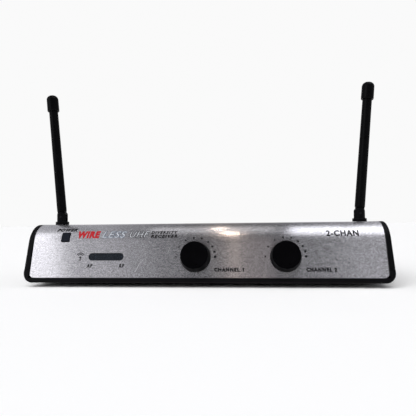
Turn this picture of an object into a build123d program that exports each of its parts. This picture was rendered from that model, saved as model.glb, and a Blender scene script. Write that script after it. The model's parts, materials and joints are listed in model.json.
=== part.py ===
"""Two-channel wireless receiver: metal cover between plastic cheeks, two knobs, two folding antennas.

Millimetres. +X is to the right seen from the front, the front faces -Y, +Z is up.
The origin is under the middle of the whole assembly, at the level the feet stand on.
"""
from build123d import *
import os
from math import cos, sin, radians

os.makedirs("parts", exist_ok=True)

# ---- Driving dimensions: the case ----
cover_width = 230.0
cover_thickness = 1.5
slope_angle = 14.8          # the front leans back by this many degrees
slope_length = 24.1         # flat part of the front, measured up the slope
shoulder_radius = 15.2      # outside radius between the front and the top
body_depth = 130.0          # front bottom edge of the cover to the rear edge of the cheeks
front_y = -62.1015          # front bottom edge of the cover
rear_y = front_y + body_depth
foot_gap = 3.1
lip_height = 3.2            # tray below the cover's bottom edge
cover_bottom_z = foot_gap + lip_height
seam_z = cover_bottom_z + 5.2
rim_proud = 0.9             # cheek rim in front of the cover's slope
rim_top_proud = 0.15        # and above the cover's top
cheek_inner_x = cover_width / 2 + 0.1
cheek_outer_x = 118.75
cheek_draft = 1.5
tray_half_width = 118.75
tray_wall = 2.4
tray_floor = 2.2
tray_corner = 6.4
tray_inner_corner = 3.5
cover_corner = 3.2
floor_z = foot_gap + tray_floor
fit_gap = 0.1               # clearance where a piece passes through a hole

# ---- Driving dimensions: controls on the front, in the slope's own plane ----
knob_xs = (-4.3, 53.1)
knob_up = 13.35
knob_base_radius = 9.85
knob_edge_radius = 8.65     # at the front, before its edge is rounded
knob_rounding = 0.7
knob_lift = 0.5
knob_height = 8.2
knob_hollow = 3.1           # depth of the hollow behind, above the cover
shaft_end = 6.6
shaft_radius = 3.0
bush_radius = 3.55
button_x = -92.75
button_up = 27.2
button_width = 5.6
button_tall = 6.4
button_proud = 0.9
button_flange_depth = 4.0   # front face of the flange that keeps the button in, behind the cover's surface
button_flange = 0.8
switch_height = 5.0
window_x = -63.65
window_up = 13.75
window_length = 23.8
window_tall = 5.0
led_spacing = 18.4
board_depth = 12.0          # front board's forward face, behind the cover's outer surface
board_thickness = 1.6

# ---- Driving dimensions: antennas ----
antenna_x = 105.0
antenna_y = front_y + 28.5
antenna_lean = 5.2
disc_radius = 4.7
disc_top = 2.3              # heights above the cover's top
pivot_height = 5.7
ear_radius = 3.7
pin_radius = 0.9
tongue_half = 1.45
rod_start = 4.0             # distances along the rod from the pivot
rod_end = 78.2
antenna_reach = 90.0
rod_low_radius = 3.35
rod_high_radius = 3.1
cap_radius = 4.15
stem_radius = 2.0

# ---- Driving dimensions: rear and inside ----
panel_back_y = rear_y - 2.4
panel_thickness = 2.0
panel_front_y = panel_back_y - panel_thickness
jack_x = 62.0
inlet_x = -62.0
jack_bore_radius = 3.25
main_board_z = 9.0
main_board_top = main_board_z + board_thickness
main_board_front_y = front_y + 28.0
main_board_rear_y = rear_y - 8.0
boss_x = 110.6
boss_ys = (front_y + 32.0, rear_y - 20.0)
stud_x = 111.8
stud_ys = (front_y + 48.0, rear_y - 17.0)
standoff_x = 92.0
standoff_ys = (front_y + 36.0, rear_y - 16.0)
foot_xs = (-92.0, 92.0)
foot_ys = (front_y + 30.0, rear_y - 22.0)
foot_radius = 7.0
panel_screw_x = 103.0
panel_screw_z = 9.4

slope = radians(slope_angle)
up_slope = (sin(slope), cos(slope))
front = Plane(origin=(0, front_y, cover_bottom_z), x_dir=(1, 0, 0), z_dir=(0, -cos(slope), sin(slope)))


def front_point(up, depth):
    """(y, z) of a point so far up the slope and so deep behind the cover's outer surface."""
    y = front_y + up * sin(slope) + depth * cos(slope)
    z = cover_bottom_z + up * cos(slope) - depth * sin(slope)
    return (y, z)


def up_at(z, depth):
    """How far up the slope a surface at this depth reaches the height z."""
    return (z - cover_bottom_z + depth * sin(slope)) / cos(slope)


def shell_points(depth, bottom_z):
    """Start of the slope, its end and the front edge of the flat top, for a surface at a depth."""
    start = front_point(up_at(bottom_z, depth), depth)
    bend = front_point(slope_length, depth)
    centre = front_point(slope_length, shoulder_radius)
    top = (centre[0], centre[1] + shoulder_radius - depth)
    return start, bend, top


cover_top_z = shell_points(0, cover_bottom_z)[2][1]
cover_under_z = cover_top_z - cover_thickness


def shell_band(depth, thickness, bottom_z, end_y):
    """Closed outline, in the YZ plane, of a skin that follows the front, the shoulder and the top."""
    start, bend, top = shell_points(depth, bottom_z)
    inner_start, inner_bend, inner_top = shell_points(depth + thickness, bottom_z)
    Line(start, bend)
    TangentArc(bend, top, tangent=up_slope)
    Line(top, (end_y, top[1]))
    Line((end_y, top[1]), (end_y, inner_top[1]))
    Line((end_y, inner_top[1]), inner_top)
    TangentArc(inner_bend, inner_top, tangent=up_slope)
    Line(inner_bend, inner_start)
    Line(inner_start, start)


def finish(piece, label):
    """Name a finished piece and write its file."""
    piece.part.label = label
    export_step(piece.part, f"parts/{label}.step")
    boxes.append(piece.part.bounding_box())


boxes = []

# ---- Case ----

with BuildPart() as top_cover:
    with BuildSketch(Plane.YZ):
        with BuildLine():
            shell_band(0, cover_thickness, cover_bottom_z, rear_y)
        make_face()
    extrude(amount=cover_width / 2, both=True)
    fillet(top_cover.edges().filter_by(Axis.Y).group_by(Axis.Z)[0], cover_corner)
    with BuildSketch(front):
        with Locations(*[(x, knob_up) for x in knob_xs]):
            Circle(bush_radius + fit_gap)
        with Locations((window_x, window_up)):
            SlotOverall(window_length, window_tall)
        with Locations((button_x, button_up)):
            RectangleRounded(button_width + 0.6, button_tall + 0.6, 0.9)
    extrude(amount=-8, both=True, mode=Mode.SUBTRACT)
    with BuildSketch(Plane.XY.offset(cover_under_z)):
        with Locations((-antenna_x, antenna_y), (antenna_x, antenna_y)):
            Circle(3.2)
    extrude(amount=5, mode=Mode.SUBTRACT)
    with BuildSketch(Plane.XY.offset(cover_under_z)):
        with Locations(*[(x, y) for x in (-stud_x, stud_x) for y in stud_ys]):
            Circle(1.5)
    extrude(amount=-6)
finish(top_cover, "top_cover")


def make_cheek(side, label):
    """Side moulding: drafted plate with a raised rim, a ledge under the cover, pads and screw bosses."""
    outward = Plane.YZ.offset(side * cheek_inner_x)
    with BuildPart() as cheek:
        start = front_point(up_at(seam_z, -rim_proud), -rim_proud)
        bend = front_point(slope_length, -rim_proud)
        top_z = cover_top_z + rim_top_proud
        top = (bend[0] + cos(slope) * (top_z - bend[1]) / (1 - sin(slope)), top_z)
        with BuildSketch(outward):
            with BuildLine():
                Line(start, bend)
                TangentArc(bend, top, tangent=up_slope)
                Line(top, (rear_y, top[1]))
                Line((rear_y, top[1]), (rear_y, seam_z))
                Line((rear_y, seam_z), start)
            make_face()
        extrude(amount=side * (cheek_outer_x - cheek_inner_x))
        draft_plane = Plane(origin=(side * cheek_outer_x, 0, seam_z), x_dir=(0, 1, 0),
                            z_dir=(side * cos(radians(cheek_draft)), 0, sin(radians(cheek_draft))))
        split(bisect_by=draft_plane, keep=Keep.BOTTOM)
        rim = cheek.faces().sort_by(Axis.X)[-1 if side > 0 else 0].edges()
        fillet(rim.filter_by(lambda edge: edge.center().Z > seam_z + 0.1), 1.1)
        seam_edge = cheek.edges().group_by(Axis.Z)[0].sort_by(Axis.X)[-1 if side > 0 else 0]
        chamfer(seam_edge, 0.45)
        with BuildSketch(outward):
            with BuildLine():
                shell_band(cover_thickness, 2.5, seam_z, panel_front_y - 0.2)
            make_face()
        extrude(amount=-side * 3.5)
        pad_width = cheek_inner_x - 108.0
        with BuildSketch(Plane.XY.offset(cover_under_z)):
            with Locations(*[(side * (108.0 + pad_width / 2), y) for y in stud_ys]):
                Rectangle(pad_width, 12)
        extrude(amount=-2.5)
        with BuildSketch(Plane.XY.offset(seam_z)):
            with Locations(*[(side * boss_x, y) for y in boss_ys]):
                Circle(3.5)
            with Locations(*[(side * (boss_x + 2.5), y) for y in boss_ys]):
                Rectangle(5, 3)
        extrude(amount=13)
        with BuildSketch(Plane.XY.offset(seam_z)):
            with Locations(*[(side * boss_x, y) for y in boss_ys]):
                Circle(1.3)
        extrude(amount=10, mode=Mode.SUBTRACT)
        with BuildSketch(Plane.XY.offset(cover_under_z)):
            with Locations(*[(side * stud_x, y) for y in stud_ys]):
                Circle(1.7)
        extrude(amount=-3, mode=Mode.SUBTRACT)
    finish(cheek, label)


make_cheek(-1, "left_cheek")
make_cheek(1, "right_cheek")

with BuildPart() as bottom_case:
    with BuildSketch(Plane.XZ.offset(-rear_y)):
        with Locations((0, (foot_gap + seam_z) / 2)):
            Rectangle(2 * tray_half_width, seam_z - foot_gap)
    extrude(amount=body_depth + 8)
    fillet(bottom_case.edges().filter_by(Axis.Y).group_by(Axis.Z)[0], tray_corner)
    split(bisect_by=front.offset(rim_proud), keep=Keep.BOTTOM)
    front_corner = bottom_case.edges().group_by(Axis.Y)[0].sort_by(Axis.Z)[0]
    fillet(front_corner, 0.8)
    with BuildSketch(Plane.YZ):
        with BuildLine():
            Polyline(front_point(up_at(floor_z, 2.9), 2.9), front_point(up_at(seam_z + 1, 2.9), 2.9),
                     (rear_y - tray_wall, seam_z + 1), (rear_y - tray_wall, floor_z), close=True)
        make_face()
    extrude(amount=tray_half_width - tray_wall, both=True, mode=Mode.SUBTRACT)
    inner_corners = bottom_case.edges().filter_by(Axis.Y).filter_by(
        lambda edge: abs(edge.center().Z - floor_z) < 0.01 and abs(edge.center().X) > tray_half_width - tray_wall - 0.1)
    fillet(inner_corners, tray_inner_corner)
    with BuildSketch(Plane.XZ.offset(-(front_y + 12))):
        with Locations((0, cover_bottom_z + 10)):
            Rectangle(cover_width + 0.2, 20)
    extrude(amount=24, mode=Mode.SUBTRACT)
    with BuildSketch(Plane.XZ.offset(-(rear_y + 1))):
        with Locations((0, cover_bottom_z + 10)):
            Rectangle(cover_width + 0.2, 20)
    extrude(amount=8, mode=Mode.SUBTRACT)
    with BuildSketch(Plane.XY.offset(floor_z)):
        with Locations(*[(x, y) for x in (-boss_x, boss_x) for y in boss_ys]):
            Circle(3.5)
    extrude(amount=seam_z - floor_z)
    with BuildSketch(Plane.XY.offset(floor_z)):
        with Locations(*[(x, y) for x in (-standoff_x, standoff_x) for y in standoff_ys]):
            Circle(3.2)
    extrude(amount=main_board_z - floor_z)
    with BuildSketch(Plane.XY.offset(floor_z)):
        with Locations(*[(x, panel_front_y - 4) for x in (-panel_screw_x, panel_screw_x)]):
            Rectangle(8, 8)
    extrude(amount=8.5)
    with BuildSketch(Plane.XZ.offset(-panel_front_y)):
        with Locations(*[(x, panel_screw_z) for x in (-panel_screw_x, panel_screw_x)]):
            Circle(1.2)
    extrude(amount=7, mode=Mode.SUBTRACT)
    with BuildSketch(Plane.XY.offset(foot_gap)):
        with Locations(*[(x, y) for x in (-boss_x, boss_x) for y in boss_ys]):
            Circle(3.0)
    extrude(amount=2.6, mode=Mode.SUBTRACT)
    with BuildSketch(Plane.XY.offset(foot_gap)):
        with Locations(*[(x, y) for x in (-boss_x, boss_x) for y in boss_ys]):
            Circle(1.6)
    extrude(amount=20, mode=Mode.SUBTRACT)
    with BuildSketch(Plane.XY.offset(floor_z + 0.8)):
        with Locations(*[(x, y) for x in (-standoff_x, standoff_x) for y in standoff_ys]):
            Circle(1.1)
    extrude(amount=8, mode=Mode.SUBTRACT)
    with BuildSketch(Plane.XY.offset(foot_gap)):
        with Locations(*[(x, y) for x in foot_xs for y in foot_ys]):
            Circle(foot_radius)
    extrude(amount=0.6, mode=Mode.SUBTRACT)
finish(bottom_case, "bottom_case")

with BuildPart() as rubber_feet:
    with BuildSketch(Plane.XY.offset(foot_gap + 0.6)):
        with Locations(*[(x, y) for x in foot_xs for y in foot_ys]):
            Circle(foot_radius)
    extrude(amount=-(foot_gap + 0.6), taper=6)
    fillet(rubber_feet.edges().group_by(Axis.Z)[0], 0.6)
finish(rubber_feet, "rubber_feet")

with BuildPart() as rear_panel:
    with BuildSketch(Plane.XZ.offset(-panel_back_y)):
        with Locations((0, (floor_z + 0.1 + cover_under_z - 0.1) / 2)):
            RectangleRounded(cover_width - 0.2, cover_under_z - floor_z - 0.2, 2.0)
        with Locations((jack_x, 18.6)):
            Circle(5.6, mode=Mode.SUBTRACT)
        with Locations((inlet_x, 16.1)):
            Rectangle(9.2, 11.2, mode=Mode.SUBTRACT)
        with Locations(*[(x, panel_screw_z) for x in (-panel_screw_x, panel_screw_x)]):
            Circle(1.5, mode=Mode.SUBTRACT)
    extrude(amount=panel_thickness)
finish(rear_panel, "rear_panel")

# ---- Fasteners: a head with a cross recess and a plain shank ----


def make_screws(label, heads, head_radius, head_height, shank_radius, shank_length):
    """Screws whose heads sit on the given planes and whose shanks run back into the work."""
    with BuildPart() as screws:
        with BuildSketch(*heads):
            Circle(head_radius)
        extrude(amount=head_height)
        with BuildSketch(*heads):
            Circle(shank_radius)
        extrude(amount=-shank_length)
        with BuildSketch(*[head.offset(head_height) for head in heads]):
            Rectangle(head_radius * 1.1, 0.6)
            Rectangle(0.6, head_radius * 1.1)
        extrude(amount=-head_height * 0.5, mode=Mode.SUBTRACT)
    finish(screws, label)


case_heads = [Plane(origin=(x, y, foot_gap + 2.6), x_dir=(1, 0, 0), z_dir=(0, 0, -1))
              for x in (-boss_x, boss_x) for y in boss_ys]
board_heads = [Plane(origin=(x, y, main_board_top)) for x in (-standoff_x, standoff_x) for y in standoff_ys]
panel_heads = [Plane(origin=(x, panel_back_y, panel_screw_z), x_dir=(-1, 0, 0), z_dir=(0, 1, 0))
               for x in (-panel_screw_x, panel_screw_x)]
make_screws("case_screws", case_heads, 2.8, 1.9, 1.3, 15.5)
make_screws("board_screws", board_heads, 2.4, 1.6, 1.1, 4.4)
make_screws("panel_screws", panel_heads, 2.7, 1.7, 1.2, 8.5)

with BuildPart() as cover_nuts:
    with BuildSketch(Plane.XY.offset(cover_under_z - 2.5)):
        with Locations(*[(x, y) for x in (-stud_x, stud_x) for y in stud_ys]):
            RegularPolygon(radius=2.75, side_count=6, major_radius=False, rotation=30)
            Circle(1.5, mode=Mode.SUBTRACT)
    extrude(amount=-2.4)
finish(cover_nuts, "cover_nuts")

# ---- Power button and switch ----

with BuildPart() as power_button:
    with BuildSketch(front.offset(button_proud)):
        with Locations((button_x, button_up)):
            RectangleRounded(button_width, button_tall, 0.7)
    extrude(amount=-(button_proud + button_flange_depth))
    low_corner = front_point(button_up - button_tall / 2 - 1, -button_proud)
    face_angle = radians(slope_angle + 9.5)
    face_plane = Plane(origin=(0, *low_corner), x_dir=(1, 0, 0), z_dir=(0, -cos(face_angle), sin(face_angle)))
    split(bisect_by=face_plane, keep=Keep.BOTTOM)
    fillet(power_button.faces().sort_by(Axis.Y)[0].edges(), 0.35)
    with BuildSketch(front.offset(-button_flange_depth)):
        with Locations((button_x, button_up)):
            RectangleRounded(button_width + 2, button_tall + 2, 0.7)
    extrude(amount=-button_flange)
finish(power_button, "power_button")

with BuildPart() as switch_plunger:
    with BuildSketch(front.offset(-(button_flange_depth + button_flange))):
        with Locations((button_x, button_up)):
            Rectangle(3, 3)
    extrude(amount=-4.4)
finish(switch_plunger, "switch_plunger")

with BuildPart() as power_switch:
    with BuildSketch(front.offset(-board_depth)):
        with Locations((button_x, button_up)):
            Rectangle(8, 8)
    extrude(amount=switch_height)
    chamfer(power_switch.edges().filter_by(Axis.X), 0.3)
    with BuildSketch(front.offset(-board_depth + 0.6)):
        with Locations((button_x, button_up)):
            Rectangle(3.3, 3.3)
    extrude(amount=10, mode=Mode.SUBTRACT)
finish(power_switch, "power_switch")

# ---- Indicator window ----

with BuildPart() as indicator_window:
    with BuildSketch(front.offset(-0.5)):
        with Locations((window_x, window_up)):
            SlotOverall(window_length - 0.2, window_tall - 0.2)
    extrude(amount=-1.0)
    with BuildSketch(front.offset(-cover_thickness)):
        with Locations((window_x, window_up)):
            SlotOverall(window_length + 2.4, window_tall + 2.4)
    extrude(amount=-1.0)
finish(indicator_window, "indicator_window")

led_places = [(window_x - led_spacing / 2, window_up), (window_x + led_spacing / 2, window_up)]
window_back = cover_thickness + 1.0

with BuildPart() as led_holder:
    with BuildSketch(front.offset(-window_back)):
        with Locations((window_x, window_up)):
            SlotOverall(window_length + 2.4, window_tall + 2.4)
        with Locations(*led_places):
            Circle(1.6, mode=Mode.SUBTRACT)
    extrude(amount=-(board_depth - window_back))
finish(led_holder, "led_holder")

with BuildPart() as indicator_leds:
    with BuildSketch(front.offset(-board_depth)):
        with Locations(*led_places):
            Circle(1.5)
    extrude(amount=board_depth - window_back - 0.3)
    fillet(indicator_leds.edges().filter_by(GeomType.CIRCLE).group_by(Axis.Y)[0], 1.2)
finish(indicator_leds, "indicator_leds")

# ---- Front circuit board ----

with BuildPart() as front_circuit_board:
    with BuildSketch(front.offset(-board_depth)):
        with Locations((-15, 12.5)):
            RectangleRounded(178, 19, 1)
        with Locations((button_x, 20)):
            Rectangle(16, 24)
    extrude(amount=-board_thickness)
finish(front_circuit_board, "front_circuit_board")


def knob_plane(x, height=0.0):
    """Plane across a knob's axis, so far in front of the cover's surface."""
    y, z = front_point(knob_up, -height)
    return Plane(origin=(x, y, z), x_dir=(1, 0, 0), z_dir=front.z_dir)


def shaft_section():
    """Round shaft with a flat above its axis, opposite the pointer."""
    Circle(shaft_radius)
    with Locations((0, shaft_radius + 0.4)):
        Rectangle(2 * shaft_radius, 2, mode=Mode.SUBTRACT)


for number, x in enumerate(knob_xs, start=1):
    with BuildPart() as volume_pot:
        with BuildSketch(knob_plane(x, -board_depth)):
            Rectangle(12.5, 13)
        extrude(amount=board_depth - cover_thickness)
        with BuildSketch(knob_plane(x, -cover_thickness)):
            Circle(bush_radius)
        extrude(amount=cover_thickness + 2.9)
        with BuildSketch(knob_plane(x, -9)):
            Circle(shaft_radius + 0.05)
        extrude(amount=20, mode=Mode.SUBTRACT)
    finish(volume_pot, f"volume_pot_{number}")

    with BuildPart() as pot_shaft:
        with BuildSketch(knob_plane(x, -8.7)):
            Circle(shaft_radius)
        extrude(amount=8.7 + knob_hollow)
        with BuildSketch(knob_plane(x, knob_hollow)):
            shaft_section()
        extrude(amount=shaft_end - knob_hollow)
    finish(pot_shaft, f"pot_shaft_{number}")

    with BuildPart() as knob:
        start = knob_plane(x)
        side_plane = Plane(origin=start.origin, x_dir=(1, 0, 0), z_dir=(0, -sin(slope), -cos(slope)))
        with BuildSketch(side_plane):
            with BuildLine():
                Polyline((0, knob_height), (knob_edge_radius, knob_height), (knob_base_radius, knob_lift),
                         (7.2, knob_lift), (7.2, knob_hollow), (0, knob_hollow), close=True)
            make_face()
        revolve(axis=Axis(start.origin, start.z_dir))
        fillet(knob.edges().filter_by(GeomType.CIRCLE).filter_by(
            lambda edge: abs(edge.radius - knob_edge_radius) < 0.01), knob_rounding)
        with BuildSketch(knob_plane(x, knob_hollow - 0.5)):
            shaft_section()
        extrude(amount=shaft_end + 0.1 - (knob_hollow - 0.5), mode=Mode.SUBTRACT)
        with Locations(Plane(origin=knob_plane(x, knob_height + 0.25).origin, x_dir=(1, 0, 0), z_dir=front.z_dir)):
            with Locations((1.6, -6.3, 0)):
                Sphere(0.7, mode=Mode.SUBTRACT)
    finish(knob, f"knob_{number}")

with BuildPart() as pot_washers:
    with BuildSketch(front):
        with Locations(*[(x, knob_up) for x in knob_xs]):
            Circle(6)
            Circle(bush_radius, mode=Mode.SUBTRACT)
    extrude(amount=0.5)
finish(pot_washers, "pot_washers")

with BuildPart() as pot_nuts:
    with BuildSketch(front.offset(0.5)):
        with Locations(*[(x, knob_up) for x in knob_xs]):
            RegularPolygon(radius=5, side_count=6, major_radius=False)
            Circle(bush_radius, mode=Mode.SUBTRACT)
    extrude(amount=2)
finish(pot_nuts, "pot_nuts")

# ---- Main circuit board and what stands on it ----

board_middle_y = (main_board_front_y + main_board_rear_y) / 2
can_x = 68.0
can_y = front_y + 52.0
can_height = 12.0

with BuildPart() as main_circuit_board:
    with BuildSketch(Plane.XY.offset(main_board_z)):
        with Locations((0, board_middle_y)):
            RectangleRounded(194, main_board_rear_y - main_board_front_y, 2)
        with Locations(*[(x, y) for x in (-standoff_x, standoff_x) for y in standoff_ys]):
            Circle(1.3, mode=Mode.SUBTRACT)
    extrude(amount=board_thickness)
finish(main_circuit_board, "main_circuit_board")

with BuildPart() as rf_shields:
    with BuildSketch(Plane.XY.offset(main_board_top)):
        with Locations((-can_x, can_y), (can_x, can_y)):
            RectangleRounded(36, 26, 1)
    extrude(amount=can_height)
    with BuildSketch(Plane.XY.offset(main_board_top)):
        with Locations((-can_x, can_y), (can_x, can_y)):
            Rectangle(35, 25)
    extrude(amount=can_height - 0.5, mode=Mode.SUBTRACT)
finish(rf_shields, "rf_shields")

with BuildPart() as tuning_coils:
    with BuildSketch(Plane.XY.offset(main_board_top)):
        with Locations((0, can_y + 6)):
            with GridLocations(14, 13, 4, 2):
                RectangleRounded(7, 7, 0.5)
    extrude(amount=8)
    with BuildSketch(Plane.XY.offset(main_board_top + 8)):
        with Locations((0, can_y + 6)):
            with GridLocations(14, 13, 4, 2):
                Circle(2)
    extrude(amount=-1.5, mode=Mode.SUBTRACT)
finish(tuning_coils, "tuning_coils")

with BuildPart() as crystals:
    with BuildSketch(Plane.XY.offset(main_board_top)):
        with Locations((0, can_y + 26)):
            with GridLocations(70, 1, 2, 1):
                SlotOverall(11, 4.6)
    extrude(amount=3.6)
    fillet(crystals.faces().sort_by(Axis.Z)[-2:].edges(), 0.6)
finish(crystals, "crystals")

with BuildPart() as chips:
    with BuildSketch(Plane.XY.offset(main_board_top)):
        with Locations((0, can_y + 26)):
            with GridLocations(24, 1, 3, 1):
                Rectangle(10, 6.4)
    extrude(amount=3.3)
    chamfer(chips.faces().filter_by(Axis.Z).group_by(Axis.Z)[-1].edges(), 0.4)
finish(chips, "chips")

with BuildPart() as capacitors:
    with BuildSketch(Plane.XY.offset(main_board_top)):
        with Locations((5, rear_y - 22)):
            with GridLocations(16, 1, 4, 1):
                Circle(4)
    extrude(amount=11.5)
    with BuildSketch(Plane.XY.offset(main_board_top)):
        with Locations((-40, rear_y - 24)):
            Circle(6.5)
    extrude(amount=18)
    fillet(capacitors.faces().filter_by(Axis.Z).edges(), 0.5)
finish(capacitors, "capacitors")

regulator_x = inlet_x - 17
regulator_y = rear_y - 30

with BuildPart() as voltage_regulator:
    with BuildSketch(Plane.XY.offset(main_board_top + 2)):
        with Locations((regulator_x, regulator_y - 2.3)):
            Rectangle(10, 4.6)
    extrude(amount=9)
    with BuildSketch(Plane.XY.offset(main_board_top)):
        with Locations((regulator_x, regulator_y - 2.3)):
            with GridLocations(2.54, 1, 3, 1):
                Rectangle(0.8, 0.6)
    extrude(amount=2)
finish(voltage_regulator, "voltage_regulator")

with BuildPart() as heat_sink:
    with BuildSketch(Plane.XY.offset(main_board_top)):
        with Locations((regulator_x, regulator_y + 1)):
            Rectangle(20, 2)
        with Locations((regulator_x, regulator_y + 4.5)):
            with GridLocations(4.6, 1, 5, 1):
                Rectangle(1.2, 6)
    extrude(amount=20)
finish(heat_sink, "heat_sink")

# Ribbon between the two boards: a header on each, and a flat cable from one to the other.
header_x = 24.0
header_up = 15.0
front_header_end = board_depth + board_thickness + 5.5
ribbon_start = front_point(header_up, front_header_end)
main_header_y = front_y + 40.0
ribbon_end = (main_header_y, main_board_top + 4.0)

with BuildPart() as board_headers:
    with BuildSketch(front.offset(-(board_depth + board_thickness))):
        with Locations((header_x, header_up)):
            Rectangle(18, 5)
    extrude(amount=-5.5)
    with BuildSketch(Plane.XY.offset(main_board_top)):
        with Locations((header_x, main_header_y + 3)):
            Rectangle(18, 6)
    extrude(amount=6)
finish(board_headers, "board_headers")

with BuildPart() as ribbon_cable:
    with BuildLine() as ribbon_path:
        FilletPolyline((header_x, *ribbon_start),
                       (header_x, ribbon_start[0] + 4.8, ribbon_start[1] - 1.27),
                       (header_x, ribbon_end[0] - 5.0, ribbon_end[1]),
                       (header_x, *ribbon_end), radius=4)
    with BuildSketch(Plane(origin=(header_x, *ribbon_start), x_dir=(1, 0, 0), z_dir=ribbon_path.line % 0)):
        Rectangle(15, 0.9)
    sweep(path=ribbon_path.line)
finish(ribbon_cable, "ribbon_cable")

# ---- Sockets in the rear panel ----

jack_z = main_board_top + 8.0
inlet_z = main_board_top + 6.5
inlet_face_y = panel_back_y + 0.5
socket_depth = 10.0

with BuildPart() as output_jack:
    with BuildSketch(Plane.XZ.offset(-panel_front_y)):
        with Locations((jack_x, jack_z)):
            Rectangle(16, 16)
    extrude(amount=22)
    with BuildSketch(Plane.XZ.offset(-panel_front_y)):
        with Locations((jack_x, jack_z)):
            Circle(5.5)
    extrude(amount=-5.2)
    with BuildSketch(Plane.XZ.offset(-(panel_front_y + 5.2))):
        with Locations((jack_x, jack_z)):
            Circle(jack_bore_radius)
    extrude(amount=25.2, mode=Mode.SUBTRACT)
    chamfer(output_jack.edges().group_by(Axis.Y)[-1], 0.4)
finish(output_jack, "output_jack")

with BuildPart() as output_jack_nut:
    with BuildSketch(Plane.XZ.offset(-panel_back_y)):
        with Locations((jack_x, jack_z)):
            RegularPolygon(radius=7, side_count=6, major_radius=False)
            Circle(5.5, mode=Mode.SUBTRACT)
    extrude(amount=-2.2)
finish(output_jack_nut, "output_jack_nut")

with BuildPart() as dc_inlet:
    with BuildSketch(Plane.XZ.offset(-inlet_face_y)):
        with Locations((inlet_x, (main_board_top + main_board_top + 11) / 2)):
            Rectangle(9, 11)
    extrude(amount=14.5)
    with BuildSketch(Plane.XZ.offset(-inlet_face_y)):
        with Locations((inlet_x, inlet_z)):
            Circle(3.0)
    extrude(amount=socket_depth, mode=Mode.SUBTRACT)
finish(dc_inlet, "dc_inlet")

with BuildPart() as dc_inlet_pin:
    with BuildSketch(Plane.XZ.offset(-(inlet_face_y - socket_depth))):
        with Locations((inlet_x, inlet_z)):
            Circle(1.0)
    extrude(amount=-(socket_depth - 1))
    fillet(dc_inlet_pin.edges().group_by(Axis.Y)[-1], 0.4)
finish(dc_inlet_pin, "dc_inlet_pin")

# ---- Antennas ----


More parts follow.
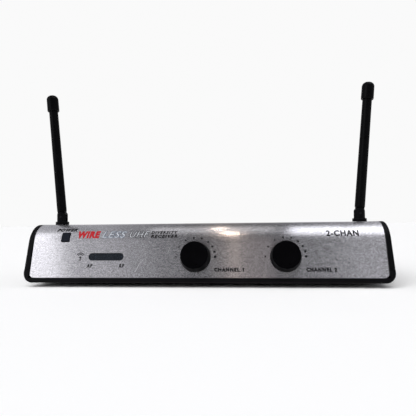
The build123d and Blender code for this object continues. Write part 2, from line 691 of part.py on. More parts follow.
def make_antenna(side, name):
    """Bush through the cover, swivelling fork with its clip and pin, and the leaning rod with its cap."""
    x = side * antenna_x
    level = Plane(origin=(x, antenna_y, cover_top_z))
    lean = radians(antenna_lean)
    pivot = (x, antenna_y, cover_top_z + pivot_height)
    along = Plane(origin=pivot, x_dir=(cos(lean), 0, -side * sin(lean)), z_dir=(side * sin(lean), 0, cos(lean)))
    side_on = Plane(origin=pivot, x_dir=along.x_dir, z_dir=(0, -1, 0))
    spin = Axis(pivot, along.z_dir)

    with BuildPart() as bush:
        with BuildSketch(level.offset(-8)):
            Circle(3.1)
        extrude(amount=8)
        with BuildSketch(level.offset(-cover_thickness)):
            Circle(5.25)
        extrude(amount=-2)
        with BuildSketch(level):
            Circle(stem_radius + 0.05)
        extrude(amount=-9, mode=Mode.SUBTRACT)
    finish(bush, f"antenna_bush_{name}")

    with BuildPart() as fork:
        with BuildSketch(Plane(origin=(x, antenna_y + ear_radius, cover_top_z), x_dir=(1, 0, 0), z_dir=(0, -1, 0))):
            with Locations((0, pivot_height)):
                Circle(ear_radius)
            with Locations((0, (disc_top + pivot_height) / 2)):
                Rectangle(2 * ear_radius, pivot_height - disc_top)
        extrude(amount=2 * ear_radius)
        with BuildSketch(level.offset(disc_top)):
            Circle(ear_radius)
        extrude(amount=20, mode=Mode.INTERSECT)
        with BuildSketch(level.offset(pivot_height - 2.9)):
            Rectangle(3 * ear_radius, 2 * tongue_half + 0.2)
        extrude(amount=20, mode=Mode.SUBTRACT)
        with BuildSketch(level.offset(0.1)):
            Circle(disc_radius)
        extrude(amount=disc_top - 0.1)
        fillet(fork.edges().filter_by(GeomType.CIRCLE).filter_by(
            lambda edge: abs(edge.radius - disc_radius) < 0.01).group_by(Axis.Z)[-1], 0.5)
        with BuildSketch(level.offset(0.1)):
            Circle(stem_radius)
        extrude(amount=-9.5)
        with BuildSketch(Plane(origin=pivot, x_dir=(1, 0, 0), z_dir=(0, -1, 0))):
            Circle(pin_radius)
        extrude(amount=10, both=True, mode=Mode.SUBTRACT)
    finish(fork, f"antenna_fork_{name}")

    with BuildPart() as clip:
        with BuildSketch(level.offset(-8.2)):
            Circle(3.4)
            Circle(stem_radius, mode=Mode.SUBTRACT)
        extrude(amount=-0.8)
    finish(clip, f"antenna_clip_{name}")

    with BuildPart() as pin:
        with BuildSketch(Plane(origin=pivot, x_dir=(1, 0, 0), z_dir=(0, -1, 0))):
            Circle(pin_radius)
        extrude(amount=ear_radius - 0.2, both=True)
    finish(pin, f"antenna_pin_{name}")

    with BuildPart() as tongue:
        with BuildSketch(side_on):
            Circle(2.8)
            with Locations((0, rod_start / 2)):
                Rectangle(5.6, rod_start)
            Circle(pin_radius + 0.05, mode=Mode.SUBTRACT)
        extrude(amount=tongue_half, both=True)
        with BuildSketch(along.offset(rod_start)):
            Circle(2.0)
        extrude(amount=10)
    finish(tongue, f"antenna_tongue_{name}")

    with BuildPart() as rod:
        with BuildSketch(side_on):
            with BuildLine():
                Polyline((2.0, rod_start), (rod_low_radius - 0.3, rod_start), (rod_low_radius, rod_start + 0.3),
                         (rod_high_radius, rod_end), (2.6, rod_end), (2.6, rod_end + 7.5), (0, rod_end + 7.5),
                         (0, rod_start + 10), (2.0, rod_start + 10), close=True)
            make_face()
        revolve(axis=spin)
    finish(rod, f"antenna_rod_{name}")

    with BuildPart() as cap:
        with BuildSketch(side_on):
            with BuildLine():
                Polyline((2.6, rod_end), (cap_radius - 0.2, rod_end), (cap_radius, rod_end + 0.5),
                         (cap_radius - 0.05, antenna_reach - 2.8))
                ThreePointArc((cap_radius - 0.05, antenna_reach - 2.8),
                              (cap_radius - 1.05, antenna_reach - 0.8), (1.6, antenna_reach))
                Polyline((1.6, antenna_reach), (0, antenna_reach), (0, rod_end + 7.5),
                         (2.6, rod_end + 7.5), (2.6, rod_end))
            make_face()
        revolve(axis=spin)
    finish(cap, f"antenna_cap_{name}")

    # The lead runs from under the bush's flange to the top of the nearer shielding can.
    flange_z = cover_under_z - 2
    can_top = main_board_top + can_height
    lead_x = side * (antenna_x - 4.15)
    end_x = side * (can_x + 10)
    with BuildPart() as lead:
        with BuildLine() as route:
            FilletPolyline((lead_x, antenna_y, flange_z), (lead_x, antenna_y, flange_z - 6),
                           (side * 91, antenna_y + 12, can_top + 7), (end_x, antenna_y + 22, can_top + 7),
                           (end_x, antenna_y + 22, can_top), radius=4)
        with BuildSketch(Plane(origin=(lead_x, antenna_y, flange_z), z_dir=(0, 0, -1))):
            Circle(0.95)
        sweep(path=route.line)
    finish(lead, f"antenna_lead_{name}")


make_antenna(-1, "left")
make_antenna(1, "right")

low = [min(getattr(box.min, axis) for box in boxes) for axis in "XYZ"]
high = [max(getattr(box.max, axis) for box in boxes) for axis in "XYZ"]
print("low corner", [round(value, 3) for value in low])
print("high corner", [round(value, 3) for value in high])
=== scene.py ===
"""Looks of the wireless receiver unit: materials, printed marks, studio and camera round the CAD model."""
import json
import math
import bmesh
import bpy
from mathutils import Matrix, Vector


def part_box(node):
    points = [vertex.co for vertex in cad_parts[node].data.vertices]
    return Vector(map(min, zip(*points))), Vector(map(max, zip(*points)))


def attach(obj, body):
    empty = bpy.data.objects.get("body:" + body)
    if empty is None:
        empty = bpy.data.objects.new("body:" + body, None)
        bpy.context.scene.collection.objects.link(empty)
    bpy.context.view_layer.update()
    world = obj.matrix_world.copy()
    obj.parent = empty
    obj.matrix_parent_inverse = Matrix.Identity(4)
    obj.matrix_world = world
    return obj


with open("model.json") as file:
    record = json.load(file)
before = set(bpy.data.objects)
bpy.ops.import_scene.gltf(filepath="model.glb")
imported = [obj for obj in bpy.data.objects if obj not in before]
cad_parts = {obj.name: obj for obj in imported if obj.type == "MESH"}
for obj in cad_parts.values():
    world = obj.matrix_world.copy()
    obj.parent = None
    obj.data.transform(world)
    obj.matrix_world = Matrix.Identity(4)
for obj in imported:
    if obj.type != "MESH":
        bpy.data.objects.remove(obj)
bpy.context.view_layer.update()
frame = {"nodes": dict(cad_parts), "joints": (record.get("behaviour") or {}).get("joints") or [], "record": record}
nodes = frame["nodes"]
joints = {joint["name"]: joint for joint in frame["joints"]}
MM = 0.001

# ---- The front surface: a flat slope, then a shoulder arc, then the flat top ----

SLOPE_LENGTH = 24.1 * MM
SHOULDER_RADIUS = 15.2 * MM
cover_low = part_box("top_cover")[0]
FRONT_OUT = Vector(joints["knob_1_turn"]["axis"])
SLOPE = math.atan2(FRONT_OUT.z, -FRONT_OUT.y)
KNOBS = [Vector(joints[f"knob_{number}_turn"]["pos_m"]) for number in (1, 2)]


def surface_point(x, up, lift=0.0):
    """Point at x, so far up the front along its surface, lifted off it. up runs on over the shoulder."""
    along = min(up, SLOPE_LENGTH)
    y = cover_low.y + along * math.sin(SLOPE)
    z = cover_low.z + along * math.cos(SLOPE)
    turn = 0.0
    if up > SLOPE_LENGTH:
        turn = min((up - SLOPE_LENGTH) / SHOULDER_RADIUS, math.pi / 2 - SLOPE)
        centre_y = y + SHOULDER_RADIUS * math.cos(SLOPE)
        centre_z = z - SHOULDER_RADIUS * math.sin(SLOPE)
        y = centre_y - SHOULDER_RADIUS * math.cos(SLOPE + turn)
        z = centre_z + SHOULDER_RADIUS * math.sin(SLOPE + turn)
    tilt = SLOPE + turn
    return Vector((x, y - lift * math.cos(tilt), z + lift * math.sin(tilt)))


def up_of(point):
    """How far up the slope a point of the front lies."""
    return (point.z - cover_low.z) / math.cos(SLOPE)


# ---- Material building ----


class Recipe:
    """One procedural material: a Principled shader and the nodes that feed it."""

    def __init__(self, name, color, metallic=0.0, roughness=0.5, **sockets):
        self.material = bpy.data.materials.new(name)
        self.material.use_nodes = True
        self.tree = self.material.node_tree
        self.shader = self.tree.nodes["Principled BSDF"]
        self.shader.inputs["Base Color"].default_value = (*color, 1.0)
        self.shader.inputs["Metallic"].default_value = metallic
        self.shader.inputs["Roughness"].default_value = roughness
        for socket, value in sockets.items():
            self.shader.inputs[socket.replace("_", " ")].default_value = value
        self.place = self.tree.nodes.new("ShaderNodeTexCoord").outputs["Object"]

    def add(self, kind, **settings):
        node = self.tree.nodes.new(kind)
        for key, value in settings.items():
            setattr(node, key, value)
        return node

    def link(self, source, target):
        self.tree.links.new(source, target)
        return self

    def noise(self, scale, detail=3.0, stretch=(1, 1, 1), roughness=0.5):
        """Noise in the object's own metres: scale is features per metre."""
        mapping = self.add("ShaderNodeMapping")
        mapping.inputs["Scale"].default_value = stretch
        self.link(self.place, mapping.inputs["Vector"])
        texture = self.add("ShaderNodeTexNoise")
        texture.inputs["Scale"].default_value = scale
        texture.inputs["Detail"].default_value = detail
        texture.inputs["Roughness"].default_value = roughness
        self.link(mapping.outputs["Vector"], texture.inputs["Vector"])
        return texture.outputs["Fac"]

    def spread(self, source, low, high, start=0.3, end=0.7):
        """The source stretched from low to high between two of its values."""
        ranged = self.add("ShaderNodeMapRange")
        ranged.inputs["From Min"].default_value = start
        ranged.inputs["From Max"].default_value = end
        ranged.inputs["To Min"].default_value = low
        ranged.inputs["To Max"].default_value = high
        self.link(source, ranged.inputs["Value"])
        return ranged.outputs["Result"]

    def colors(self, source, first, second, start=0.3, end=0.7):
        """The source as a blend of two colours, on the shader's base colour."""
        ramp = self.add("ShaderNodeValToRGB")
        ramp.color_ramp.elements[0].position = start
        ramp.color_ramp.elements[1].position = end
        ramp.color_ramp.elements[0].color = (*first, 1.0)
        ramp.color_ramp.elements[1].color = (*second, 1.0)
        self.link(source, ramp.inputs["Fac"])
        self.link(ramp.outputs["Color"], self.shader.inputs["Base Color"])
        return self

    def bump(self, source, distance, strength=1.0):
        """Relief of the source, so many metres deep. Calls add up."""
        relief = self.add("ShaderNodeBump")
        relief.inputs["Strength"].default_value = strength
        relief.inputs["Distance"].default_value = distance
        self.link(source, relief.inputs["Height"])
        before = self.shader.inputs["Normal"]
        if before.is_linked:
            self.link(before.links[0].from_socket, relief.inputs["Normal"])
        self.link(relief.outputs["Normal"], before)
        return self


def tint(color, factor):
    return tuple(min(channel * factor, 1.0) for channel in color)


def moulded_plastic(name, color, roughness=0.45, grain=0.00002, level=0.3, grain_scale=2600):
    """Moulded plastic: spark-eroded grain, faint cloudiness and handling marks in the gloss."""
    recipe = Recipe(name, color, roughness=roughness, Specular_IOR_Level=level)
    recipe.colors(recipe.noise(90, 4), tint(color, 0.8), tint(color, 1.3))
    recipe.link(recipe.spread(recipe.noise(240, 5), roughness * 0.85, roughness * 1.18),
                recipe.shader.inputs["Roughness"])
    recipe.bump(recipe.noise(grain_scale, 2), grain)
    return recipe.material


def plated_metal(name, color, roughness=0.3, brushed=(1, 1, 1)):
    """Plated sheet or turned metal: faint tool marks and a mottled shine."""
    recipe = Recipe(name, color, metallic=1.0, roughness=roughness)
    recipe.colors(recipe.noise(160, 4), tint(color, 0.85), tint(color, 1.1))
    recipe.link(recipe.spread(recipe.noise(900, 4, brushed), roughness * 0.75, roughness * 1.3),
                recipe.shader.inputs["Roughness"])
    recipe.bump(recipe.noise(2500, 2, brushed), 0.000008)
    return recipe.material


def brushed_cover():
    """Horizontally brushed sheet: reflections smeared up and down, a satin speckle, faint hair lines."""
    color = (0.77, 0.76, 0.795)
    recipe = Recipe("cover_metal", color, metallic=1.0, roughness=0.22, Anisotropic=1.0)
    tangent = recipe.add("ShaderNodeTangent", direction_type="RADIAL", axis="X")
    recipe.link(tangent.outputs["Tangent"], recipe.shader.inputs["Tangent"])
    hair_lines = recipe.noise(2000, 3, (0.08, 1, 1), 0.6)
    speckle = recipe.noise(1400, 2, (0.7, 1, 1), 0.5)
    mixed = recipe.add("ShaderNodeMath", operation="ADD")
    recipe.link(recipe.spread(hair_lines, 0.0, 0.3, 0.25, 0.75), mixed.inputs[0])
    recipe.link(recipe.spread(speckle, 0.0, 0.7, 0.25, 0.75), mixed.inputs[1])
    recipe.colors(mixed.outputs[0], tint(color, 0.77), tint(color, 1.19), 0.2, 0.8)
    recipe.link(recipe.spread(mixed.outputs[0], 0.20, 0.24, 0.2, 0.8), recipe.shader.inputs["Roughness"])
    recipe.bump(recipe.noise(1100, 2, (0.5, 1, 1)), 0.000002)
    return recipe.material


def rubber(name, color, roughness=0.38, level=0.3):
    """Smooth synthetic rubber with a faint bloom and fine flow lines."""
    recipe = Recipe(name, color, roughness=roughness, Specular_IOR_Level=level)
    recipe.colors(recipe.noise(70, 5), tint(color, 0.75), tint(color, 1.35))
    recipe.link(recipe.spread(recipe.noise(400, 4), roughness * 0.8, roughness * 1.25),
                recipe.shader.inputs["Roughness"])
    recipe.bump(recipe.noise(1200, 3), 0.000015)
    return recipe.material


def smoked_window():
    """Dark tinted acrylic, polished, that lets a little of what is behind it show."""
    recipe = Recipe("smoked_window", (0.010, 0.013, 0.018), roughness=0.08, Alpha=0.8, IOR=1.49,
                    Specular_IOR_Level=0.3)
    recipe.link(recipe.spread(recipe.noise(500, 4), 0.05, 0.14), recipe.shader.inputs["Roughness"])
    recipe.bump(recipe.noise(60, 2), 0.00001)
    return recipe.material


def led_resin():
    """Clear water-blue epoxy of an unlit lamp."""
    recipe = Recipe("led_resin", (0.28, 0.38, 0.75), roughness=0.12, Specular_IOR_Level=0.7, Coat_Weight=0.6)
    recipe.colors(recipe.noise(700, 2), (0.16, 0.25, 0.6), (0.4, 0.5, 0.85))
    return recipe.material


def circuit_board():
    """Green solder mask over copper tracks, with the weave of the glass cloth."""
    recipe = Recipe("circuit_board", (0.02, 0.16, 0.07), roughness=0.32, Specular_IOR_Level=0.5)
    tracks = recipe.add("ShaderNodeTexBrick", offset=0.35, squash=0.6, squash_frequency=3)
    tracks.inputs["Scale"].default_value = 60
    tracks.inputs["Mortar Size"].default_value = 0.03
    tracks.inputs["Color1"].default_value = (0.012, 0.11, 0.045, 1)
    tracks.inputs["Color2"].default_value = (0.02, 0.17, 0.07, 1)
    tracks.inputs["Mortar"].default_value = (0.05, 0.27, 0.10, 1)
    recipe.link(recipe.place, tracks.inputs["Vector"])
    recipe.link(tracks.outputs["Color"], recipe.shader.inputs["Base Color"])
    recipe.bump(tracks.outputs["Fac"], 0.00003)
    recipe.bump(recipe.noise(3000, 1), 0.000006)
    return recipe.material


def ribbon_plastic():
    """Grey flat cable: round conductors side by side under one jacket, with painted shade in the grooves and
    painted highlight on the crests.
    """
    recipe = Recipe("ribbon_grey", (0.42, 0.42, 0.44), roughness=0.42)
    ribs_and_shade = recipe.add("ShaderNodeTexWave", wave_type="BANDS", bands_direction="X", wave_profile="SIN")
    ribs_and_shade.inputs["Scale"].default_value = 125
    recipe.link(recipe.place, ribs_and_shade.inputs["Vector"])
    # painted shade and highlight: the grooves between the conductors are coloured darker, the crests lighter
    recipe.colors(ribs_and_shade.outputs["Fac"], (0.3, 0.3, 0.32), (0.5, 0.5, 0.52))
    recipe.bump(ribs_and_shade.outputs["Fac"], 0.0002)
    return recipe.material


def printed_ink(name, color):
    """Screen ink: matt, with a thin uneven edge to its cover."""
    recipe = Recipe(name, color, roughness=0.55, Specular_IOR_Level=0.25)
    recipe.colors(recipe.noise(1500, 3), tint(color, 0.85), tint(color, 1.2))
    recipe.bump(recipe.noise(4000, 2), 0.000004)
    return recipe.material


BLACK = (0.0018, 0.0018, 0.0022)
SLOT_MATERIALS = {
    "cover_metal": brushed_cover(),
    "case_plastic": moulded_plastic("case_plastic", BLACK, 0.4, 0.00003, 0.08, 1800),
    "panel_paint": moulded_plastic("panel_paint", (0.012, 0.012, 0.013), 0.5, 0.00004, 0.35, 1400),
    "foot_rubber": rubber("foot_rubber", (0.02, 0.02, 0.02), 0.7),
    "black_screws": plated_metal("black_screws", (0.045, 0.045, 0.05), 0.35),
    "plated_steel": plated_metal("plated_steel", (0.62, 0.62, 0.60), 0.28),
    "tinned_steel": plated_metal("tinned_steel", (0.68, 0.68, 0.66), 0.34),
    "button_plastic": moulded_plastic("button_plastic", (0.004, 0.005, 0.009), 0.25, 0.000003, 0.12),
    "white_nylon": moulded_plastic("white_nylon", (0.72, 0.71, 0.66), 0.4),
    "component_black": moulded_plastic("component_black", (0.015, 0.015, 0.016), 0.5),
    "smoked_window": smoked_window(),
    "led_resin": led_resin(),
    "circuit_board": circuit_board(),
    "pot_metal": plated_metal("pot_metal", (0.55, 0.54, 0.50), 0.4),
    "knob_plastic": moulded_plastic("knob_plastic", (0.0012, 0.0012, 0.0015), 0.42, 0.000003, 0.008),
    "capacitor_sleeve": moulded_plastic("capacitor_sleeve", (0.02, 0.035, 0.12), 0.25, 0.000005, 0.5),
    "heat_sink_aluminium": plated_metal("heat_sink_aluminium", (0.5, 0.51, 0.52), 0.4, (1, 1, 0.05)),
    "ribbon_grey": ribbon_plastic(),
    "socket_plastic": moulded_plastic("socket_plastic", (0.012, 0.012, 0.012), 0.42),
    "nickel_brass": plated_metal("nickel_brass", (0.62, 0.56, 0.44), 0.25),
    "antenna_plastic": moulded_plastic("antenna_plastic", (0.0015, 0.0015, 0.002), 0.3, 0.000005, 0.07),
    "antenna_plastic_pin": plated_metal("antenna_plastic_pin", (0.02, 0.02, 0.022), 0.4),
    "antenna_rubber": rubber("antenna_rubber", (0.0012, 0.0012, 0.0015), 0.3, 0.07),
    "lead_jacket": rubber("lead_jacket", (0.03, 0.03, 0.03), 0.5),
}

for row in frame["record"]["subparts"]:
    mesh = nodes[row["node"]].data
    mesh.materials.clear()
    mesh.materials.append(SLOT_MATERIALS[row["material_slot"]])
nodes["led_holder"].data.materials[0] = moulded_plastic("led_holder", (0.06, 0.062, 0.068), 0.5)

# ---- Printed marks on the front ----

INK_THICKNESS = 0.03 * MM
INK_LIFT = 0.005 * MM
BLACK_INK = printed_ink("black_ink", (0.003, 0.003, 0.004))
GREY_INK = printed_ink("grey_ink", (0.09, 0.11, 0.14))
RED_INK = printed_ink("red_ink", (0.30, 0.006, 0.011))
PALE_INK = printed_ink("pale_ink", (0.42, 0.43, 0.46))
WHITE_INK = printed_ink("white_ink", (0.55, 0.55, 0.55))


def lay_on_front(mesh, x, up, step=0.4 * MM):
    """Bend a flat mesh, drawn in its own XY plane, onto the front: cut it finely up the slope, then map it."""
    work = bmesh.new()
    work.from_mesh(mesh)
    heights = [vertex.co.y for vertex in work.verts]
    level = min(heights) + step
    while level < max(heights):
        geometry = work.verts[:] + work.edges[:] + work.faces[:]
        bmesh.ops.bisect_plane(work, geom=geometry, plane_co=(0, level, 0), plane_no=(0, 1, 0))
        level += step
    for vertex in work.verts:
        vertex.co = surface_point(x + vertex.co.x, up + vertex.co.y, INK_LIFT + vertex.co.z)
    bmesh.ops.recalc_face_normals(work, faces=work.faces[:])
    work.to_mesh(mesh)
    work.free()


def place_piece(name, mesh, material, body="root"):
    """Put a finished mesh in the scene as a named piece that rides on a CAD body."""
    mesh.materials.clear()
    mesh.materials.append(material)
    piece = bpy.data.objects.new(name, mesh)
    bpy.context.scene.collection.objects.link(piece)
    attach(piece, body)
    return piece


def text_mesh(words, width, height, bold=0.0, slant=0.0, spacing=1.0):
    """Flat lettering in the built-in face, centred on the origin and scaled to a width and a height."""
    letters = bpy.data.curves.new("letters", "FONT")
    letters.body = words
    letters.size = 1.0
    letters.offset = bold
    letters.shear = slant
    letters.space_character = spacing
    letters.resolution_u = 4
    letters.extrude = 0.5
    maker = bpy.data.objects.new("letters", letters)
    bpy.context.scene.collection.objects.link(maker)
    bpy.context.view_layer.update()
    mesh = bpy.data.meshes.new_from_object(maker)
    bpy.data.objects.remove(maker)
    bpy.data.curves.remove(letters)
    xs = [vertex.co.x for vertex in mesh.vertices]
    ys = [vertex.co.y for vertex in mesh.vertices]
    centre = Vector(((min(xs) + max(xs)) / 2, (min(ys) + max(ys)) / 2, -0.5))
    scale = Vector((width / (max(xs) - min(xs)), height / (max(ys) - min(ys)), INK_THICKNESS))
    for vertex in mesh.vertices:
        vertex.co = (vertex.co - centre) * scale
    return mesh


def print_words(name, words, left, right, low, high, ink, **style):
    """Lettering on the front between two x places and two heights up the surface, all in millimetres."""
    mesh = text_mesh(words, (right - left) * MM, (high - low) * MM, **style)
    lay_on_front(mesh, (left + right) / 2 * MM, (low + high) / 2 * MM)
    return place_piece(name, mesh, ink)


def print_rear(name, words, x, z, width, height, **style):
    """Lettering on the rear panel, read from behind, round a point given in millimetres."""
    mesh = text_mesh(words, width * MM, height * MM, **style)
    face_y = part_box("rear_panel")[1].y
    for vertex in mesh.vertices:
        flat = vertex.co.copy()
        vertex.co = (x * MM - flat.x, face_y + INK_LIFT + flat.z, z * MM + flat.y)
    return place_piece(name, mesh, WHITE_INK)


OUTLINE_BOLD, OUTLINE_CORE_BOLD, OUTLINE_INSET = 0.055, -0.012, 0.45


def print_outlined(name, words, left, right, low, high, ink, **style):
    """Outlined lettering: heavy letters with thinner pale ones on top of them."""
    print_words(name, words, left, right, low, high, ink, bold=OUTLINE_BOLD, **style)
    width, height = right - left - 2 * OUTLINE_INSET, high - low - 2 * OUTLINE_INSET
    mesh = text_mesh(words, width * MM, height * MM, bold=OUTLINE_CORE_BOLD, **style)
    for vertex in mesh.vertices:
        vertex.co.z += INK_THICKNESS
    lay_on_front(mesh, (left + right) / 2 * MM, (low + high) / 2 * MM)
    place_piece(name + "_inside", mesh, PALE_INK)


BUTTON_X = sum(corner.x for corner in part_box("power_button")) / 2 / MM
WINDOW_X = sum(corner.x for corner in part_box("indicator_window")) / 2 / MM
KNOB_X = [knob.x / MM for knob in KNOBS]
OUTLINED = dict(slant=0.35, spacing=1.15)
SMALL_SLANTED = dict(bold=0.06, slant=0.25, spacing=1.3)
LAMP_CAPTION = dict(bold=0.065, slant=0.2, spacing=1.3)
KNOB_CAPTION = dict(bold=0.08, spacing=1.35)

CAPTIONS = (
    # name, words, x it is placed from, left, right, low, high, ink, lettering
    ("power", "POWER", BUTTON_X, -7.6, 6.6, 31.8, 34.8, BLACK_INK, dict(bold=0.075, slant=0.3, spacing=1.3)),
    ("wire", "WIRE", WINDOW_X, -21, -5.5, 26.3, 31.9, RED_INK, dict(bold=0.07, slant=0.15, spacing=1.15)),
    ("less", "LESS", WINDOW_X, -4.3, 12.8, 26.2, 31.8, GREY_INK, OUTLINED),
    ("uhf", "UHF", WINDOW_X, 14.5, 28.5, 26.2, 31.8, BLACK_INK, OUTLINED),
    ("diversity", "DIVERSITY", WINDOW_X, 29.2, 47.1, 29.2, 31.5, BLACK_INK, SMALL_SLANTED),
    ("receiver", "RECEIVER", WINDOW_X, 29.2, 47.1, 26.2, 28.6, BLACK_INK, SMALL_SLANTED),
    ("two_channel", "2-CHAN", KNOB_X[1], 25.9, 46, 26.5, 30.8, BLACK_INK, dict(bold=0.035, spacing=1.15)),
    ("af", "AF", WINDOW_X, -12.7, -8.6, 6.5, 9.1, BLACK_INK, LAMP_CAPTION),
    ("rf", "RF", WINDOW_X, 9.2, 12.8, 6.5, 9.1, BLACK_INK, LAMP_CAPTION),
    ("channel_1", "CHANNEL 1", KNOB_X[0], 12.2, 31, 3.9, 6.5, BLACK_INK, KNOB_CAPTION),
    ("channel_2", "CHANNEL 2", KNOB_X[1], 12.2, 31, 3.9, 6.5, BLACK_INK, KNOB_CAPTION),
)
for name, words, x, left, right, low, high, ink, style in CAPTIONS:
    write = print_outlined if style is OUTLINED else print_words
    write("print_" + name, words, x + left, x + right, low, high, ink, **style)

REAR_LETTERING = dict(bold=0.04, spacing=1.15)
jack = sum(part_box("output_jack_nut"), Vector()) / 2 / MM
inlet = sum(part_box("dc_inlet"), Vector()) / 2 / MM
REAR_CAPTION_Z = jack.z + 11.8
print_rear("print_output", "OUTPUT", jack.x, REAR_CAPTION_Z, 15, 2.5, **REAR_LETTERING)
print_rear("print_dc_in", "DC IN 12 V", inlet.x, REAR_CAPTION_Z, 20, 2.5, **REAR_LETTERING)


def disc(work, x, y, radius, corners=28):
    """Thin round blot of ink in a flat drawing."""
    rings = []
    for z in (0.0, INK_THICKNESS):
        turns = [2 * math.pi * corner / corners for corner in range(corners)]
        rings.append([work.verts.new((x + radius * math.cos(a), y + radius * math.sin(a), z)) for a in turns])
    work.faces.new(rings[1])
    work.faces.new(rings[0][::-1])
    for corner in range(corners):
        after = (corner + 1) % corners
        work.faces.new((rings[0][corner], rings[0][after], rings[1][after], rings[1][corner]))


def stroke(work, points, width):
    """Thin band of ink along flat points, the same width all the way."""
    sides = []
    for index, point in enumerate(points):
        ahead = points[min(index + 1, len(points) - 1)] - points[max(index - 1, 0)]
        across = Vector((-ahead.y, ahead.x)).normalized() * width / 2
        corners = [point + across, point - across]
        sides.append([work.verts.new((c.x, c.y, z)) for z in (0.0, INK_THICKNESS) for c in corners])
    for near, far in zip(sides, sides[1:]):
        work.faces.new((near[2], near[3], far[3], far[2]))
        work.faces.new((near[1], near[0], far[0], far[1]))
        work.faces.new((near[0], near[2], far[2], far[0]))
        work.faces.new((near[3], near[1], far[1], far[3]))
    for end in (sides[0], sides[-1]):
        work.faces.new((end[0], end[1], end[3], end[2]))


def drawing(name, draw, x, up, ink):
    """A flat drawing made by a function, laid on the front."""
    work = bmesh.new()
    draw(work)
    mesh = bpy.data.meshes.new(name)
    work.to_mesh(mesh)
    work.free()
    lay_on_front(mesh, x, up)
    return place_piece(name, mesh, ink)


DOT_RING = 12.75 * MM
DOTS = 9


def volume_dots(work):
    """Dots from nine o'clock over the top to three o'clock: they grow, and close up, clockwise."""
    for index in range(DOTS):
        share = index / (DOTS - 1)
        angle = math.radians(179 - 248 * share + 70 * share ** 2)
        radius = (0.48 + 0.34 * share) * MM
        disc(work, DOT_RING * math.cos(angle), DOT_RING * math.sin(angle), radius)


for number, knob in enumerate(KNOBS, start=1):
    drawing(f"print_volume_dots_{number}", volume_dots, knob.x, up_of(knob), BLACK_INK)


def aerial_sign(work):
    """Aerial with two waves over it."""
    disc(work, 0, 0, 0.62 * MM)
    stroke(work, [Vector((0, -0.5 * MM)), Vector((0, -2.3 * MM))], 0.6 * MM)
    stroke(work, [Vector((-0.45 * MM, -2.3 * MM)), Vector((0.45 * MM, -2.3 * MM))], 0.4 * MM)
    for radius in (1.9 * MM, 2.9 * MM):
        turns = [math.radians(35 + 110 * step / 12) for step in range(13)]
        stroke(work, [Vector((radius * math.cos(a), radius * math.sin(a))) for a in turns], 0.5 * MM)


AERIAL_SIGN_X, AERIAL_SIGN_UP = -81.1 * MM, 13.4 * MM
drawing("print_aerial_sign", aerial_sign, AERIAL_SIGN_X, AERIAL_SIGN_UP, BLACK_INK)

# ---- Light scratches in the cover ----

SCRATCH = printed_ink("scratch", (0.33, 0.33, 0.345))
SCRATCHES = (
    (((-43.2, 4.0), (-42.0, 7.0), (-40.3, 10.0), (-38.2, 12.0)), 0.28),
    (((-43.6, 3.8), (-43.0, 4.9)), 0.45),
    (((-41.0, 24.5), (-38.8, 21.5), (-37.4, 17.5), (-36.8, 13.0), (-37.2, 8.5)), 0.12),
    (((-22.6, 15.7), (-21.8, 18.0), (-21.0, 20.0)), 0.2),
    (((-66.0, 21.5), (-68.5, 19.5), (-69.6, 17.5)), 0.12),
    (((-87.6, 15.0), (-86.2, 15.9)), 0.16),
)


def scratches(work):
    """Each scratch is a bent line of points across and up the front, in millimetres, and its width."""
    for corners, width in SCRATCHES:
        stroke(work, [Vector(corner) * MM for corner in corners], width * MM)


drawing("cover_scratches", scratches, 0, 0, SCRATCH)

# ---- Studio ----


BACKDROP = 0.955   # brightness of the world behind the floor, as the camera sees it


def make_floor(size=60.0):
    mesh = bpy.data.meshes.new("floor")
    half = size / 2
    corners = [(-half, -half, 0), (half, -half, 0), (half, half, 0), (-half, half, 0)]
    mesh.from_pydata(corners, [], [(0, 1, 2, 3)])
    white = Recipe("floor_white", (0.95, 0.95, 0.95), roughness=0.9, Specular_IOR_Level=0.1)
    mesh.materials.append(white.material)
    floor = bpy.data.objects.new("floor", mesh)
    bpy.context.scene.collection.objects.link(floor)


def aim(thing, place, target):
    """Put a thing at a place, its -Z axis towards the target."""
    place = Vector(place)
    thing.location = place
    thing.rotation_euler = (Vector(target) - place).to_track_quat("-Z", "Y").to_euler()


def softbox(name, azimuth, elevation, distance, width, height, radiance, color):
    """Rectangular studio light, placed by its direction from the middle of the front, its width along X.

    Azimuth runs from straight ahead (-Y) to the right. Elevation runs on over the top to the rear. It shows
    only in reflections, so the floor stays evenly lit.
    """
    side, rise = math.radians(azimuth), math.radians(elevation)
    target = Vector((0, cover_low.y, 0.03))
    ahead = Vector((math.sin(side), -math.cos(side) * math.cos(rise), math.cos(side) * math.sin(rise)))
    lamp = bpy.data.lights.new(name, "AREA")
    lamp.shape = "RECTANGLE"
    lamp.size = width
    lamp.size_y = height
    lamp.energy = radiance * math.pi * width * height
    lamp.color = color
    box = bpy.data.objects.new(name, lamp)
    bpy.context.scene.collection.objects.link(box)
    place = target + ahead * distance
    aim(box, place, Vector((place.x, target.y, target.z)))
    box.visible_camera = False
    box.visible_diffuse = False


def floor_light(name, direction, strength, angle):
    """Broad light from far away that lights the floor evenly and makes no reflection."""
    lamp = bpy.data.lights.new(name, "SUN")
    lamp.energy = strength
    lamp.angle = math.radians(angle)
    sun = bpy.data.objects.new(name, lamp)
    bpy.context.scene.collection.objects.link(sun)
    aim(sun, direction, (0, 0, 0))
    sun.visible_glossy = False


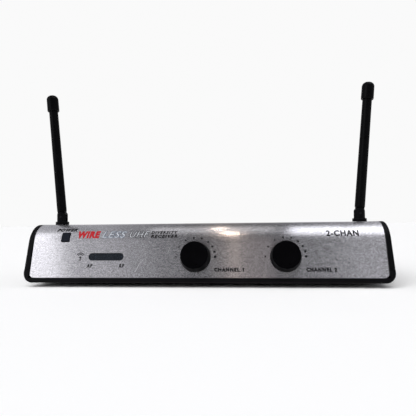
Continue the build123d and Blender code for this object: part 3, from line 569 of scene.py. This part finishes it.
def make_world():
    """White backdrop for the camera; for the object, a room with pale walls at the sides and behind."""
    world = bpy.data.worlds.new("studio")
    bpy.context.scene.world = world
    world.use_nodes = True
    tree = world.node_tree
    tree.nodes.clear()
    output = tree.nodes.new("ShaderNodeOutputWorld")
    shown = tree.nodes.new("ShaderNodeBackground")
    shown.inputs["Color"].default_value = (BACKDROP, BACKDROP, BACKDROP, 1)
    room = tree.nodes.new("ShaderNodeBackground")
    place = tree.nodes.new("ShaderNodeTexCoord")
    split = tree.nodes.new("ShaderNodeSeparateXYZ")
    tree.links.new(place.outputs["Generated"], split.inputs["Vector"])
    across = tree.nodes.new("ShaderNodeMapRange")
    across.inputs["From Min"].default_value = -1.0
    tree.links.new(split.outputs["X"], across.inputs["Value"])
    walls = tree.nodes.new("ShaderNodeValToRGB")
    ramp = walls.color_ramp
    ramp.interpolation = "EASE"
    # how far to the right a wall lies, as the x part of its direction, and its brightness
    shades = [(-1.0, 0.42), (-0.40, 0.41), (-0.34, 0.40), (-0.28, 0.29), (-0.20, 0.15), (-0.13, 0.085),
              (0.05, 0.08), (0.14, 0.08), (0.28, 0.26), (1.0, 0.40)]
    for x, shade in shades:
        inside = -1.0 < x < 1.0
        stop = ramp.elements.new((x + 1) / 2) if inside else ramp.elements[0 if x < 0 else -1]
        stop.color = (shade, shade, shade * 1.04, 1)
    tree.links.new(across.outputs["Result"], walls.inputs["Fac"])
    rear = tree.nodes.new("ShaderNodeMapRange")
    rear.inputs["From Min"].default_value = 0.75
    rear.inputs["From Max"].default_value = 1.0
    rear.inputs["To Max"].default_value = 0.5
    tree.links.new(split.outputs["Y"], rear.inputs["Value"])
    total = tree.nodes.new("ShaderNodeVectorMath")
    total.operation = "ADD"
    tree.links.new(walls.outputs["Color"], total.inputs[0])
    tree.links.new(rear.outputs["Result"], total.inputs[1])
    tree.links.new(total.outputs["Vector"], room.inputs["Color"])
    path = tree.nodes.new("ShaderNodeLightPath")
    mix = tree.nodes.new("ShaderNodeMixShader")
    tree.links.new(path.outputs["Is Camera Ray"], mix.inputs["Fac"])
    tree.links.new(room.outputs["Background"], mix.inputs[1])
    tree.links.new(shown.outputs["Background"], mix.inputs[2])
    tree.links.new(mix.outputs["Shader"], output.inputs["Surface"])


CAMERA_RIGHT, CAMERA_BACK, CAMERA_UP = 31.0 * MM, 265.8 * MM, 34.0 * MM   # from the cover's front bottom edge
CAMERA_TURN, CAMERA_RISE, CAMERA_ROLL = 5.69, 2.2, -0.63                  # degrees
CAMERA_LENS = 36.35


def make_camera():
    """Low and close in front, a little right of the middle, about as high as the case's top."""
    data = bpy.data.cameras.new("camera")
    data.sensor_fit = "HORIZONTAL"
    data.sensor_width = 36.0
    data.lens = CAMERA_LENS
    data.clip_start = 0.01
    camera = bpy.data.objects.new("camera", data)
    bpy.context.scene.collection.objects.link(camera)
    turn = Matrix.Rotation(math.radians(CAMERA_TURN), 4, "Z")
    tilt = Matrix.Rotation(math.radians(90 + CAMERA_RISE), 4, "X")
    roll = Matrix.Rotation(math.radians(CAMERA_ROLL), 4, "Z")
    place = Matrix.Translation((CAMERA_RIGHT, cover_low.y - CAMERA_BACK, cover_low.z + CAMERA_UP))
    camera.matrix_world = place @ turn @ tilt @ roll
    bpy.context.scene.camera = camera


make_floor()
make_world()
make_camera()
floor_light("floor_light", direction=(-0.25, -0.9, 0.9), strength=3.4, angle=70)
SOFTBOXES = (
    # name, azimuth and elevation in degrees, distance, width and height in metres, radiance, colour
    ("left_box", -48.1, 45, 1.68, 1.2, 1.25, 1.1, (0.98, 0.98, 1.0)),
    ("overhead_right", 26, 81, 1.5, 0.95, 1.1, 1.9, (0.95, 0.96, 1.0)),
    ("overhead_middle", -5, 89, 1.7, 0.6, 1.3, 0.5, (1, 1, 1)),
    ("warm_lamp_1", -3.8, 95, 1.6, 0.045, 0.07, 28, (1, 0.8, 0.66)),
    ("warm_lamp_2", -2.0, 66, 1.6, 0.05, 0.07, 46, (1, 0.78, 0.62)),
    ("warm_strip", -1.35, 33, 1.6, 0.02, 1.2, 0.85, (1, 0.8, 0.68)),
    ("pink_wall", 2.5, 25, 1.6, 0.12, 0.8, 0.12, (1, 0.75, 0.7)),
)
for row in SOFTBOXES:
    softbox(*row)
bpy.context.scene.view_settings.view_transform = "Standard"
